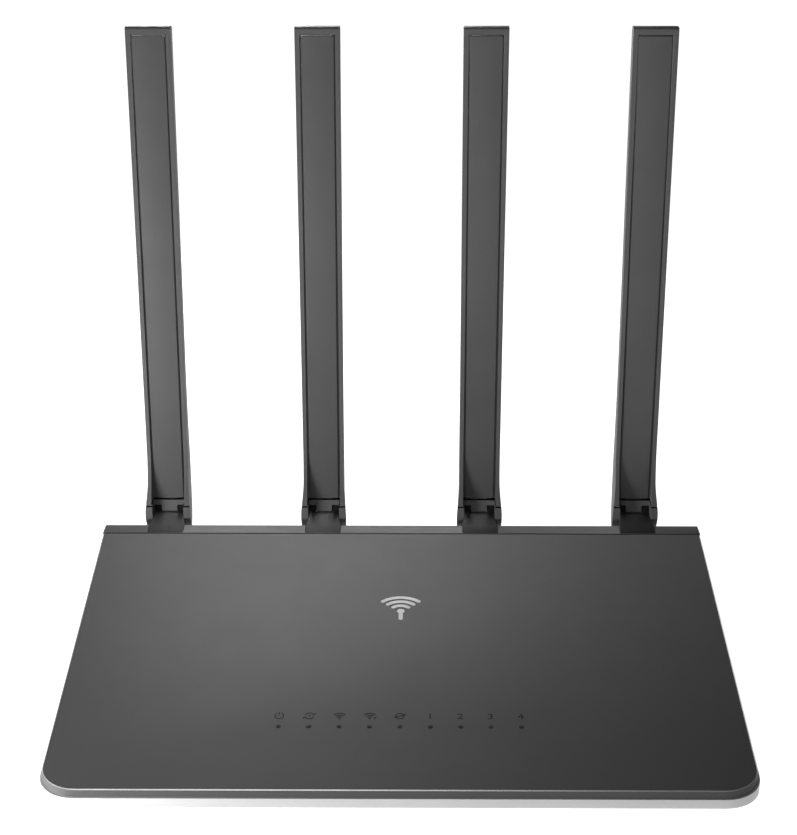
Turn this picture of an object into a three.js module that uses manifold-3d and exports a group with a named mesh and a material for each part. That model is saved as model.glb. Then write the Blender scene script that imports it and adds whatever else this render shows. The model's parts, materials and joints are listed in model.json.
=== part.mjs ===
// A flat wedge-shaped wireless router with four folding paddle antennas, in millimetres.
// +X is to the user's right, +Y to the rear where the ports are, +Z up. The origin lies on the
// table under the middle of the whole object.
import * as THREE from "three";
import { mergeVertices } from "three/addons/utils/BufferGeometryUtils.js";
import Module from "manifold-3d";

const wasm = await Module();
wasm.setup();

// ---------- driving dimensions ----------
const bodyWidth = 230;
const frontToSeam = 156.8; // top cover, front rim to the seam ahead of the rear strip
const stripDepth = 10.2; // rear strip, seam to rear wall
const frontHeight = 8; // top surface above the table at the front rim
const seamHeight = 23; // top surface above the table at the seam
const skirtHeight = 2.6; // black edge of the top cover above the silver tray
const coverThickness = 2;
const cornerRadius = 12; // front corners in plan
const rearCornerRadius = 3;
const wall = 2;
const coverInset = 0.5; // the cover sits this far inside the tray's edge
const gap = 0.3; // clearance between neighbouring pieces

const antennaPitch = 60.5;
const antennaCount = 4;
const pinBehindSeam = 24.2;
const pinHeight = 26.5;
const antennaTop = 187; // above the pin
const bladeHalf = 8; // half width of the paddle
const bladeFront = -6; // paddle's front plane, from the pin
const bladeRearLow = 4.2;
const bladeRearHigh = 0;
const noseFront = -12.1; // foremost point of the cheeks, from the pin
const cheekHalf = 8.8; // half width over the two cheeks at the hinge
const cheekBottom = -9.6; // lowest point of the cheeks, from the pin
const cheekInner = 6.15;
const lugHalf = 3.2; // centre lug of the antenna
const slotHalf = 3.55; // slot in the arm that takes the lug
const armHalf = 5.8;
const hornRadius = 4.2;
const forkRadius = 4.8; // clearance cut in the antenna round the horns
const pinRadius = 1.4;
const pinHole = 1.5;
const panelHalf = 6;
const panelLow = 2.9; // lower edge of the inset front panel, above the pin
const panelHigh = 184.1;

const ledPitch = 10;
const ledCount = 9;
const ledFromFront = 34;
const footThickness = 1.5;
const trayBottom = 1.2;
const trayFloor = 3; // inside face of the tray's floor
const boardBottom = 4.2;
const boardTop = 5.8;
const mountHeight = boardTop + gap; // underside of what stands on the board

// ---------- places worked out from them ----------
const overallDepth = frontToSeam + pinBehindSeam + bladeRearLow;
const yFront = -overallDepth / 2;
const ySeam = yFront + frontToSeam;
const yRear = ySeam + stripDepth;
const yPin = ySeam + pinBehindSeam;
const slope = (seamHeight - frontHeight) / frontToSeam;
const topAt = (y) => frontHeight + (Math.min(y, ySeam) - yFront) * slope;
const partingAt = (y) => topAt(y) - skirtHeight;
const yLed = yFront + ledFromFront;
const wallInside = yRear - 1.8;
const portFace = yRear - gap;
const antennaX = (i) => (i - (antennaCount - 1) / 2) * antennaPitch;

// Jacks from the rear view's left to its right, which runs towards -X.
const dcJackX = 64;
const buttonX = 48;
const wanJackX = 28;
const lanJackX = [4, -13.5, -31, -48.5];
const jackHalf = 7.9;
const jackTop = 17.3;
const jackDepth = 18;
const buttonZ = 11.5;
const dcZ = 11.6;

// ---------- finishes ----------
const finish = (color, roughness, metalness = 0) =>
  new THREE.MeshStandardMaterial({ color, roughness, metalness });
const blackPlastic = finish(0x2b2b2d, 0.5);
const paddlePlastic = finish(0x343436, 0.45);
const silverPlastic = finish(0xb4b4b4, 0.4, 0.2);
const greyInk = finish(0xb2b2b2, 0.5);
const boardGreen = finish(0x1d5a34, 0.5);
const tinPlate = finish(0xb8bcc0, 0.3, 0.9);
const aluminium = finish(0xa8abae, 0.4, 0.9);
const chipBlack = finish(0x18181a, 0.6);
const clearPlastic = finish(0xd8dcdc, 0.2);
const jackYellow = finish(0xd9a817, 0.5);
const jackBlue = finish(0x1f5fb8, 0.5);
const rubber = finish(0x1a1a1a, 0.9);
const steel = finish(0x8c8f93, 0.35, 0.9);
const brass = finish(0xb08d4a, 0.4, 0.8);
const labelPaper = finish(0xd8d8d6, 0.7);
const cableJacket = finish(0x1e1e20, 0.5);

// ---------- geometry helpers ----------
// A closed three.js geometry as a manifold-3d solid.
function solid(geometry) {
  const bare = geometry.index ? geometry.toNonIndexed() : geometry.clone();
  bare.deleteAttribute("normal");
  bare.deleteAttribute("uv");
  const merged = mergeVertices(bare, 1e-4);
  const mesh = new wasm.Mesh({
    numProp: 3,
    vertProperties: merged.attributes.position.array,
    triVerts: new Uint32Array(merged.index.array),
  });
  return new wasm.Manifold(mesh);
}

// A manifold-3d solid as a three.js geometry.
function geometryOf(shape) {
  const mesh = shape.getMesh();
  const geometry = new THREE.BufferGeometry();
  geometry.setAttribute("position", new THREE.BufferAttribute(mesh.vertProperties, 3));
  geometry.setIndex(new THREE.BufferAttribute(mesh.triVerts, 1));
  geometry.computeVertexNormals();
  return geometry;
}

function block(x0, x1, y0, y1, z0, z1) {
  const geometry = new THREE.BoxGeometry(x1 - x0, y1 - y0, z1 - z0);
  geometry.translate((x0 + x1) / 2, (y0 + y1) / 2, (z0 + z1) / 2);
  return solid(geometry);
}

// A round bar along "x", "y" or "z", centred on a point.
function bar(axis, radius, length, [x, y, z], sides = 16) {
  const geometry = new THREE.CylinderGeometry(radius, radius, length, sides);
  if (axis === "x") geometry.rotateZ(Math.PI / 2);
  if (axis === "z") geometry.rotateX(Math.PI / 2);
  geometry.translate(x, y, z);
  return solid(geometry);
}

function shapeOf(points) {
  return new THREE.Shape(points.map(([a, b]) => new THREE.Vector2(a, b)));
}

// A side profile of [y, z] points, or a Shape of them, run along X from x0 to x1.
function sideExtrusion(profile, x0, x1, curveSegments = 8) {
  const shape = Array.isArray(profile) ? shapeOf(profile) : profile;
  const geometry = new THREE.ExtrudeGeometry(shape, {
    depth: x1 - x0,
    bevelEnabled: false,
    curveSegments,
  });
  const turn = new THREE.Matrix4().makeBasis(
    new THREE.Vector3(0, 1, 0),
    new THREE.Vector3(0, 0, 1),
    new THREE.Vector3(1, 0, 0),
  );
  geometry.applyMatrix4(turn);
  geometry.translate(x0, 0, 0);
  return solid(geometry);
}

// The body's outline in plan, drawn in by inset, run up from z0 to z1.
function bodyPlan(inset, z0, z1) {
  const half = bodyWidth / 2 - inset;
  const front = yFront + inset;
  const rear = yRear - inset;
  const rf = cornerRadius - inset;
  const rr = Math.max(rearCornerRadius - inset, 0.8);
  const plan = new THREE.Shape();
  plan.moveTo(-half + rf, front);
  plan.lineTo(half - rf, front);
  plan.absarc(half - rf, front + rf, rf, -Math.PI / 2, 0);
  plan.lineTo(half, rear - rr);
  plan.absarc(half - rr, rear - rr, rr, 0, Math.PI / 2);
  plan.lineTo(-half + rr, rear);
  plan.absarc(-half + rr, rear - rr, rr, Math.PI / 2, Math.PI);
  plan.lineTo(-half, front + rf);
  plan.absarc(-half + rf, front + rf, rf, Math.PI, Math.PI * 1.5);
  const geometry = new THREE.ExtrudeGeometry(plan, {
    depth: z1 - z0,
    bevelEnabled: false,
    curveSegments: 10,
  });
  geometry.translate(0, 0, z0);
  return solid(geometry);
}

// A slab that follows the sloping top, between two heights measured from it.
function topSlab(low, high, y0 = yFront - 1, y1 = ySeam) {
  const level = (y, offset) => topAt(yFront) + (y - yFront) * slope + offset;
  const side = [
    [y0, level(y0, low)],
    [y1, level(y1, low)],
    [y1, level(y1, high)],
    [y0, level(y0, high)],
  ];
  return sideExtrusion(side, -bodyWidth / 2, bodyWidth / 2);
}

// A round cable of the given radius along a smooth curve through the points.
function cable(points, radius, steps) {
  const path = new THREE.CatmullRomCurve3(points.map((p) => new THREE.Vector3(...p)));
  const section = new THREE.Shape();
  section.absarc(0, 0, radius, 0, Math.PI * 2);
  return solid(
    new THREE.ExtrudeGeometry(section, {
      extrudePath: path,
      steps,
      curveSegments: 4,
      bevelEnabled: false,
    }),
  );
}

const united = (shapes) => shapes.reduce((sum, shape) => sum.add(shape));

const router = new THREE.Group();

function place(name, shape, material, parent = router) {
  const mesh = new THREE.Mesh(geometryOf(shape), material);
  mesh.name = name;
  parent.add(mesh);
}

// ---------- screw places, shared by the tray and the top cover ----------
const screwPlaces = [
  [-104, yFront + 20],
  [104, yFront + 20],
  [-104, ySeam - 14],
  [104, ySeam - 14],
];
const bossTop = 4.8;
const headSeat = 3.2;

// ---------- casing ----------
function topCover() {
  const half = bodyWidth / 2;
  const outside = topSlab(-skirtHeight, 0).intersect(bodyPlan(coverInset, 0, 40));
  const under = topSlab(-40, -coverThickness, yFront - 1, ySeam + 1);
  const hollow = under.intersect(bodyPlan(coverInset + wall, -40, 40));
  const posts = screwPlaces.map(([x, y]) => {
    const roof = topAt(y) - coverThickness + 0.6;
    const base = bossTop + gap;
    return bar("z", 3.2, roof - base, [x, y, (roof + base) / 2]);
  });
  const pilotHoles = screwPlaces.map(([x, y]) => {
    const roof = topAt(y) - coverThickness - 0.2;
    return bar("z", 1.75, roof, [x, y, roof / 2], 12);
  });
  const ledHoles = Array.from({ length: ledCount }, (_, i) =>
    bar("z", 0.95, 12, [(i - (ledCount - 1) / 2) * ledPitch, yLed, topAt(yLed)], 12),
  );
  const badgeRecess = badgeOutline(gap).intersect(topSlab(-badgeDepth - gap, 5));
  const cut = united([hollow, badgeRecess, ...ledHoles]);
  return united([outside.subtract(cut), ...posts]).subtract(united(pilotHoles));
}

// A shallow plate for the emblem, let into the cover: a pointed fan, wide end to the rear.
const badgeWidth = 13;
const badgeLength = 16.5;
const badgeDepth = 0.8;
const yBadge = yFront + 97; // its front point
function badgeOutline(spare) {
  const half = badgeWidth / 2 + spare;
  const rear = yBadge + badgeLength + spare;
  const crown = 2.6;
  const fan = new THREE.Shape();
  fan.moveTo(-1 - spare, yBadge - spare);
  fan.lineTo(1 + spare, yBadge - spare);
  fan.lineTo(half, rear - crown);
  fan.quadraticCurveTo(0, rear + crown, -half, rear - crown);
  const geometry = new THREE.ExtrudeGeometry(fan, {
    depth: 40,
    bevelEnabled: false,
    curveSegments: 12,
  });
  return solid(geometry);
}

function topBadge() {
  return badgeOutline(0).intersect(topSlab(-badgeDepth, 0.05));
}

function baseTray() {
  const half = bodyWidth / 2;
  const chamfer = 1;
  const side = [
    [yFront + chamfer, trayBottom],
    [yRear, trayBottom],
    [yRear, partingAt(ySeam) - gap],
    [ySeam, partingAt(ySeam) - gap],
    [yFront, partingAt(yFront) - gap],
    [yFront, trayBottom + chamfer],
  ];
  const outside = sideExtrusion(side, -half, half).intersect(bodyPlan(0, 0, 40));
  const hollow = bodyPlan(wall, trayFloor, 40);
  const rearOpening = block(-half + wall, half - wall, wallInside - 1, yRear + 1, trayFloor, 40);
  const bosses = screwPlaces.map(([x, y]) =>
    bar("z", 4.6, bossTop - trayBottom, [x, y, (bossTop + trayBottom) / 2]),
  );
  const screwHoles = screwPlaces.map(([x, y]) =>
    bar("z", 1.8, 10, [x, y, 5], 12).add(bar("z", 3.2, headSeat, [x, y, headSeat / 2])),
  );
  const pegs = boardPegs.map(([x, y]) =>
    bar("z", 3, boardBottom - gap - trayBottom, [x, y, (boardBottom - gap + trayBottom) / 2], 12),
  );
  const footRecesses = footPlaces.map(([x, y]) =>
    bar("z", footRadius + gap, footThickness + gap, [x, y, (footThickness + gap) / 2], 20),
  );
  const labelRecess = block(-labelHalfX - gap, labelHalfX + gap, labelY - labelHalfY - gap,
    labelY + labelHalfY + gap, 0, trayBottom + 0.4);
  const shell = outside.subtract(hollow).subtract(rearOpening);
  const cut = united([...screwHoles, ...footRecesses, ...ventSlots(), labelRecess]);
  return united([shell, ...bosses, ...pegs]).subtract(cut);
}

const footRadius = 6;
const footPlaces = [
  [-88, yFront + 22],
  [88, yFront + 22],
  [-88, yRear - 22],
  [88, yRear - 22],
];
const boardPegs = [
  [-80, -48],
  [80, -48],
  [-80, 40],
  [80, 40],
];
const labelHalfX = 32;
const labelHalfY = 16;
const labelY = -45;

// Two banks of cooling slots through the floor.
function ventSlots() {
  const slots = [];
  for (const bankX of [-46, 46]) {
    for (let i = 0; i < 9; i += 1) {
      const x = bankX + (i - 4) * 6;
      slots.push(block(x - 1, x + 1, -8, 26, 0, trayFloor + 1));
    }
  }
  return slots;
}

// The rear strip, the port wall under it and the four arms that carry the antennas.
function rearBridge() {
  const half = bodyWidth / 2;
  const crown = seamHeight;
  const stripEnd = seamHeight - 0.6;
  const strip = new THREE.Shape();
  strip.moveTo(ySeam + gap, crown);
  strip.lineTo(ySeam + gap, crown - skirtHeight);
  strip.lineTo(yRear, crown - skirtHeight);
  strip.absarc(yRear - 1.8, stripEnd - 1.8, 1.8, 0, Math.PI / 2);
  const cap = sideExtrusion(strip, -half, half).intersect(bodyPlan(coverInset, 0, 40));
  const wallPiece = block(-half + wall + gap, half - wall - gap, wallInside, yRear,
    trayFloor + gap, crown - skirtHeight + 0.5);
  const ledgeTop = topAt(ySeam - 3.4) - coverThickness - gap;
  const ledgeProfile = [
    [ySeam - 3.4, ledgeTop - 1.2],
    [ySeam + 1.8, ledgeTop - 1.2],
    [ySeam + 1.8, crown - skirtHeight + 0.6],
    [ySeam + 1, crown - skirtHeight + 0.6],
    [ySeam + 1, ledgeTop],
    [ySeam - 3.4, ledgeTop],
  ];
  const ledge = sideExtrusion(ledgeProfile, -half + wall + 1, half - wall - 1);
  const jackWindows = [wanJackX, ...lanJackX].map((x) =>
    block(x - jackHalf - gap, x + jackHalf + gap, wallInside - 1, yRear + 1,
      mountHeight - gap, jackTop + gap),
  );
  const dcWindow = bar("y", 4.3, 8, [dcJackX, yRear, dcZ], 20);
  const buttonWindow = bar("y", 3.2 + gap, 8, [buttonX, yRear, buttonZ], 20);
  const arms = [];
  for (let i = 0; i < antennaCount; i += 1) arms.push(arm(antennaX(i)));
  const windows = united([...jackWindows, dcWindow, buttonWindow]);
  const shell = united([cap, wallPiece, ledge]).subtract(windows);
  const channels = [];
  for (let i = 0; i < antennaCount; i += 1) {
    channels.push(bar("y", 1.1, 17.5, [antennaX(i), ySeam + 11, channelZ], 10));
  }
  return united([shell, ...arms]).subtract(united(channels));
}

const channelZ = 20.4;
const slotFront = bladeFront - 0.7; // front wall of the lug's slot, from the pin

// One arm: a tapering tongue with two horns at its end, bored for the hinge pin.
function arm(x) {
  const side = new THREE.Shape();
  side.moveTo(yRear - 7, seamHeight - skirtHeight + 0.4);
  side.lineTo(yRear - 0.4, 18.4);
  side.lineTo(yRear + 7, 18.6);
  side.lineTo(yPin, pinHeight - hornRadius);
  side.absarc(yPin, pinHeight, hornRadius, -Math.PI / 2, Math.PI * 0.9);
  side.lineTo(yPin + slotFront + 2, 26.2);
  side.lineTo(yPin + slotFront, 24.3);
  side.lineTo(yRear - 7, 22.9);
  const tongue = sideExtrusion(side, x - armHalf, x + armHalf, 14);
  const slot = block(x - slotHalf, x + slotHalf, yPin + slotFront, yPin + 20, 10, 40);
  const bore = bar("x", pinHole, armHalf * 2 + 2, [x, yPin, pinHeight], 24);
  return tongue.subtract(slot).subtract(bore);
}

// ---------- antennas, each in a frame whose origin is its hinge pin ----------
function bladeProfile() {
  const side = new THREE.Shape();
  const tip = 2;
  side.moveTo(bladeFront, antennaTop - tip);
  side.lineTo(bladeFront, 28);
  side.bezierCurveTo(bladeFront, 14, -9.6, 9, noseFront + 0.3, 2.8);
  side.lineTo(noseFront, 2);
  side.lineTo(noseFront, -0.4);
  side.bezierCurveTo(-11.6, -6, -6.5, cheekBottom, 0, cheekBottom);
  side.bezierCurveTo(2.8, cheekBottom, bladeRearLow, -7, bladeRearLow, -2);
  side.lineTo(bladeRearLow, 7);
  side.bezierCurveTo(bladeRearLow, 20, bladeRearHigh + 0.4, 30, bladeRearHigh + 0.4, 48);
  side.lineTo(bladeRearHigh, antennaTop - tip);
  side.lineTo(bladeRearHigh - tip, antennaTop);
  side.lineTo(bladeFront + tip * 0.5, antennaTop);
  return side;
}

// The paddle's inside, from a given front plane back to its rear wall.
function hollow(front, half) {
  const side = [
    [front, 9],
    [bladeRearLow - 2.2, 9],
    [bladeRearHigh - 1.4, 40],
    [bladeRearHigh - 1.4, 179],
    [front, 179],
  ];
  return sideExtrusion(side, -half, half);
}

function antennaShell() {
  const whole = sideExtrusion(bladeProfile(), -cheekHalf, cheekHalf, 8);
  // The paddle is narrower than the cheeks above the hinge.
  const trims = [-1, 1].map((s) => {
    const outline = shapeOf([
      [s * bladeHalf, antennaTop + 1],
      [s * bladeHalf, 14],
      [s * cheekHalf, -3],
      [s * (cheekHalf + 3), -3],
      [s * (cheekHalf + 3), antennaTop + 1],
    ]);
    const geometry = new THREE.ExtrudeGeometry(outline, { depth: 60, bevelEnabled: false });
    geometry.rotateX(Math.PI / 2);
    geometry.translate(0, 30, 0);
    return solid(geometry);
  });
  // In front of the paddle's face only the two cheeks stand out.
  const faceCut = block(-cheekInner, cheekInner, -30, bladeFront, -30, 60);
  const pocket = block(-panelHalf - gap, panelHalf + gap, -30, bladeFront + 1.35,
    panelLow - gap, panelHigh + gap);
  const cavity = hollow(bladeFront + 1, 4.6);
  // Behind the ledge that backs the panel, the hollow is wider.
  const chamber = hollow(bladeFront + 2.2, 6.3);
  const forkRound = bar("x", forkRadius, cheekInner * 2, [0, 0, 0], 24);
  const forkBelow = block(-cheekInner, cheekInner, -30, 30, -30, 0.4);
  const forkBehind = block(-cheekInner, cheekInner, 0, 30, -30, forkRadius);
  const fork = united([forkRound, forkBelow, forkBehind]);
  const lug = sideExtrusion(lugProfile(), -lugHalf, lugHalf, 12);
  const pinBore = bar("x", pinHole, (cheekHalf - 0.8) * 2, [0, 0, 0], 24);
  const coaxBore = bar("z", 0.9, 18, [0, feedY, 4], 10);
  const trimmed = whole.subtract(united(trims));
  const shell = trimmed.subtract(united([faceCut, pocket, cavity, chamber, fork]));
  return shell.add(lug).subtract(pinBore.add(coaxBore));
}

// The centre lug: a disc round the pin that runs up into the paddle.
function lugProfile() {
  const side = new THREE.Shape();
  side.moveTo(bladeFront, 2);
  side.lineTo(bladeFront, -2.4);
  side.lineTo(-3, -2.5);
  side.absarc(0, 0, 3.9, Math.PI * 1.22, Math.PI * 2);
  side.lineTo(3.9, 6.5);
  side.lineTo(-4.4, 6.5);
  side.lineTo(-4.4, 2);
  return side;
}

const feedY = -3.2; // plane of the feed cable and the radiator

function frontPanel() {
  return block(-panelHalf, panelHalf, bladeFront + 0.1, bladeFront + 1.05, panelLow, panelHigh);
}

// A printed dipole: a strip with a wider collar halfway up where the cable is soldered.
function radiator() {
  const strip = block(-2, 2, feedY - 0.4, feedY + 0.4, 62, 174);
  const collar = block(-3.4, 3.4, feedY - 0.6, feedY + 0.6, 84, 116);
  return strip.add(collar);
}

function addAntenna(i) {
  const antenna = new THREE.Group();
  antenna.position.set(antennaX(i), yPin, pinHeight);
  router.add(antenna);
  const n = i + 1;
  place(`antenna_shell_${n}`, antennaShell(), paddlePlastic, antenna);
  place(`antenna_front_panel_${n}`, frontPanel(), paddlePlastic, antenna);
  place(`antenna_radiator_${n}`, radiator(), brass, antenna);
  const pinLength = (cheekHalf - 0.8 - gap) * 2;
  place(`hinge_pin_${n}`, bar("x", pinRadius, pinLength, [0, 0, 0], 24), steel, antenna);
  const feed = bar("z", 0.55, 59, [0, feedY, 32], 8);
  place(`antenna_feed_cable_${n}`, feed, cableJacket, antenna);
}

// The thin coaxial lead from the board over the jacks and through the arm to the hinge.
function pigtail(x) {
  const end = yPin + slotFront - 0.6;
  return cable(
    [
      [x, ySeam - 34.5, boardTop + 1],
      [x, ySeam - 27.5, boardTop + 1.4],
      [x, ySeam - 19.5, 13],
      [x, ySeam - 12.5, 18],
      [x, ySeam - 6.5, 18.3],
      [x, ySeam + 1.6, 18.3],
      [x, ySeam + 6, channelZ - 0.4],
      [x, yRear, channelZ],
      [x, end, channelZ],
    ],
    0.55,
    26,
  );
}

// ---------- inside ----------
function mainBoard() {
  return block(-92, 92, yLed - 6, wallInside - 1, boardBottom, boardTop);
}

function ledStrip() {
  const carrier = block(-43, 43, yLed - 1.6, yLed + 1.6, mountHeight, mountHeight + 0.5);
  const chips = Array.from({ length: ledCount }, (_, i) => {
    const x = (i - (ledCount - 1) / 2) * ledPitch;
    return block(x - 0.8, x + 0.8, yLed - 0.5, yLed + 0.5, mountHeight + 0.4, mountHeight + 1);
  });
  return united([carrier, ...chips]);
}

function lightGuide() {
  const low = mountHeight + 1 + gap;
  const top = topAt(yLed) - 0.15;
  const carrier = block(-43, 43, yLed - 1.8, yLed + 1.8, low, low + 1.2);
  const posts = Array.from({ length: ledCount }, (_, i) => {
    const x = (i - (ledCount - 1) / 2) * ledPitch;
    return bar("z", 0.62, top - low - 0.5, [x, yLed, (top + low + 0.5) / 2], 12);
  });
  return united([carrier, ...posts]);
}

const chipX = 0;
const chipY = 6;
function processor() {
  return block(chipX - 8, chipX + 8, chipY - 8, chipY + 8, mountHeight, mountHeight + 1.2);
}

function heatsink() {
  const low = mountHeight + 1.2 + gap;
  const high = topAt(chipY - 14) - coverThickness - 1;
  const base = block(chipX - 15, chipX + 15, chipY - 14, chipY + 14, low, low + 1.6);
  const fins = Array.from({ length: 8 }, (_, i) => {
    const x = chipX - 13.9 + i * 3.97;
    return block(x - 0.6, x + 0.6, chipY - 14, chipY + 14, low + 1, high);
  });
  return united([base, ...fins]);
}

function shieldCan(x, y, width, depth, height) {
  const outside = block(x - width / 2, x + width / 2, y - depth / 2, y + depth / 2,
    mountHeight, mountHeight + height);
  const inside = block(x - width / 2 + 0.6, x + width / 2 - 0.6, y - depth / 2 + 0.6,
    y + depth / 2 - 0.6, mountHeight - 1, mountHeight + height - 0.6);
  return outside.subtract(inside);
}

function capacitor(x, y) {
  return bar("z", 4, 9.5, [x, y, mountHeight + 4.75], 16);
}

// A modular socket with its latch notch at the bottom of the mouth.
function modularJack(x) {
  const body = block(x - jackHalf, x + jackHalf, portFace - jackDepth, portFace,
    mountHeight, jackTop);
  const mouth = block(x - 6, x + 6, portFace - 14.5, portFace + 1, 8.6, 16.4);
  const notch = block(x - 3.1, x + 3.1, portFace - 14.5, portFace + 1, 6.9, 9);
  return body.subtract(mouth.add(notch));
}

// The barrel socket for the mains adapter, with its contact pin down the middle.
function dcJack() {
  const face = yRear - 0.2;
  const body = block(dcJackX - 4.6, dcJackX + 4.6, wallInside - 12.5, wallInside - gap,
    mountHeight, dcZ + 4.6);
  const nose = bar("y", 4, 2.4, [dcJackX, face - 1.2, dcZ], 20);
  const hole = bar("y", 3.1, 10, [dcJackX, face - 4, dcZ], 20);
  const contact = bar("y", 1, 9.6, [dcJackX, face - 5.6, dcZ], 12);
  return body.add(nose).subtract(hole).add(contact);
}

const switchFace = wallInside - 6;
const plungerLength = 0.8;
const buttonTravel = 0.8;
function switchBlock() {
  const body = block(buttonX - 3, buttonX + 3, switchFace - 4, switchFace, mountHeight, buttonZ + 3);
  const plunger = bar("y", 1.6, plungerLength + 0.4,
    [buttonX, switchFace + plungerLength / 2 - 0.2, buttonZ], 14);
  return body.add(plunger);
}

// The push button: a cap in the wall's hole, a retaining flange inside and a stem.
function pushButton() {
  const cap = bar("y", 3.2, 4.2, [buttonX, yRear - 1.1, buttonZ], 20);
  const flange = bar("y", 4.4, 1.2, [buttonX, wallInside - 0.9, buttonZ], 20);
  const stemEnd = switchFace + plungerLength + buttonTravel + 0.05;
  const stemStart = wallInside - 0.6;
  const stem = bar("y", 1.4, stemStart - stemEnd, [buttonX, (stemStart + stemEnd) / 2, buttonZ], 14);
  return united([cap, flange, stem]);
}

function caseScrew([x, y]) {
  const headLow = trayBottom + 0.3;
  const headHigh = headSeat - gap;
  const tip = topAt(y) - coverThickness - 0.6;
  const shankTop = Math.min(tip, 14);
  const head = bar("z", 2.8, headHigh - headLow, [x, y, (headHigh + headLow) / 2]);
  const shank = bar("z", 1.4, shankTop - headLow - 0.4, [x, y, (shankTop + headLow + 0.4) / 2], 12);
  return head.add(shank);
}

// ---------- assembly ----------
place("top_cover", topCover(), blackPlastic);
place("base_tray", baseTray(), silverPlastic);
place("rear_bridge", rearBridge(), blackPlastic);
place("top_badge", topBadge(), greyInk);
place("main_board", mainBoard(), boardGreen);
place("led_strip", ledStrip(), boardGreen);
place("light_guide", lightGuide(), clearPlastic);
place("processor", processor(), chipBlack);
place("heatsink", heatsink(), aluminium);
place("radio_shield_2g", shieldCan(50, 6, 30, 26, 3.2), tinPlate);
place("radio_shield_5g", shieldCan(-50, 6, 30, 26, 3.2), tinPlate);
place("memory_chip", block(16, 28, -32, -22, mountHeight, mountHeight + 1), chipBlack);
place("flash_chip", block(-6, 2, -30, -24, mountHeight, mountHeight + 1.4), chipBlack);
place("lan_transformer_a", block(-20, -6, 34, 44, mountHeight, mountHeight + 5), chipBlack);
place("lan_transformer_b", block(-54, -40, 34, 44, mountHeight, mountHeight + 5), chipBlack);
place("filter_capacitor_a", capacitor(74, 40), chipBlack);
place("filter_capacitor_b", capacitor(62, 32), chipBlack);
place("power_inductor", block(44, 54, 30, 40, mountHeight, mountHeight + 4.5), chipBlack);
place("wan_jack", modularJack(wanJackX), jackBlue);
lanJackX.forEach((x, i) => place(`lan_jack_${i + 1}`, modularJack(x), jackYellow));
place("dc_jack", dcJack(), chipBlack);
place("reset_switch", switchBlock(), chipBlack);
place("reset_button", pushButton(), blackPlastic);
place("rating_label", block(-labelHalfX, labelHalfX, labelY - labelHalfY, labelY + labelHalfY,
  trayBottom - 0.2, trayBottom + 0.1), labelPaper);
footPlaces.forEach(([x, y], i) =>
  place(`rubber_foot_${i + 1}`, bar("z", footRadius, footThickness, [x, y, footThickness / 2], 24),
    rubber),
);
screwPlaces.forEach((spot, i) => place(`case_screw_${i + 1}`, caseScrew(spot), steel));
for (let i = 0; i < antennaCount; i += 1) {
  place(`antenna_pigtail_${i + 1}`, pigtail(antennaX(i)), cableJacket);
  addAntenna(i);
}

export default router;
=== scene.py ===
import json
import math

import bmesh
import bpy
from mathutils import Matrix, Vector

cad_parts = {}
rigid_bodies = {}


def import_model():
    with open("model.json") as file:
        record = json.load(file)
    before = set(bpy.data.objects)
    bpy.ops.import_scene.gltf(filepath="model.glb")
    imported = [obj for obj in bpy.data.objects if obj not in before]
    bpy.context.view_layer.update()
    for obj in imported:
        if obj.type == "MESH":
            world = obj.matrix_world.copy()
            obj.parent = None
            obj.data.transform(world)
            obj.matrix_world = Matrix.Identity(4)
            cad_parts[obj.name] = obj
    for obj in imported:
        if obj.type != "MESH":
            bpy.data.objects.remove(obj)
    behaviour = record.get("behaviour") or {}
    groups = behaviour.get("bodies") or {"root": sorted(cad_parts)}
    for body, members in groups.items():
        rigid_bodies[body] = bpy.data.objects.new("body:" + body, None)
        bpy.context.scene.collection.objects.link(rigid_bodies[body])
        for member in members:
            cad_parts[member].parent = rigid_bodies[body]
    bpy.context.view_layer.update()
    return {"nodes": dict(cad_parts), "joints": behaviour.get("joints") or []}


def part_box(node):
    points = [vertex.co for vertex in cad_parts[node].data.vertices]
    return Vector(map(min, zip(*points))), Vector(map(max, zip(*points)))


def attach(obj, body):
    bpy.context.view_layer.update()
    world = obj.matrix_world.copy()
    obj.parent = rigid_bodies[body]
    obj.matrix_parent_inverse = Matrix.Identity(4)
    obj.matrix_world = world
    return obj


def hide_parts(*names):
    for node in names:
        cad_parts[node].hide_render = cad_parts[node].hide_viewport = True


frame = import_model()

mm = 0.001
clearance = 0.3 * mm  # room left round a part that sits in an opening
touch = 0.01 * mm  # how near a point has to be to count as on a plane
weld = 1e-7  # points nearer than this are one point
tall = 60 * mm  # well above the casing, for blocks that are cut down afterwards
scene = bpy.context.scene
scene.view_settings.view_transform = "Standard"

# the places that every piece is built from, all read from the frame
coverLow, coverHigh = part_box("top_cover")
trayLow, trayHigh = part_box("base_tray")
pins = [Vector(joint["pos_m"]) for joint in frame["joints"] if joint["type"] == "hinge"]
jackNames = ["wan_jack"] + [f"lan_jack_{i}" for i in range(1, 5)]
yFront = trayLow.y
yRear = trayHigh.y
ySeam = coverHigh.y
halfWidth = trayHigh.x
coverInset = trayHigh.x - coverHigh.x
skirt = coverHigh.z - trayHigh.z - clearance
frontTop = coverLow.z + skirt  # top surface at the cover's front edge
slope = (coverHigh.z - frontTop) / (coverHigh.y - coverLow.y)
slopeAngle = math.atan(slope)
slopeUp = Vector((0, -slope, 1)).normalized()


def topAt(y):
    return frontTop + (y - coverLow.y) * slope


def inRow(i, count, pitch):
    # place of item i in a centred row
    return (i - (count - 1) / 2) * pitch


def vertsOf(geom):
    return [item for item in geom if isinstance(item, bmesh.types.BMVert)]


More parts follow.
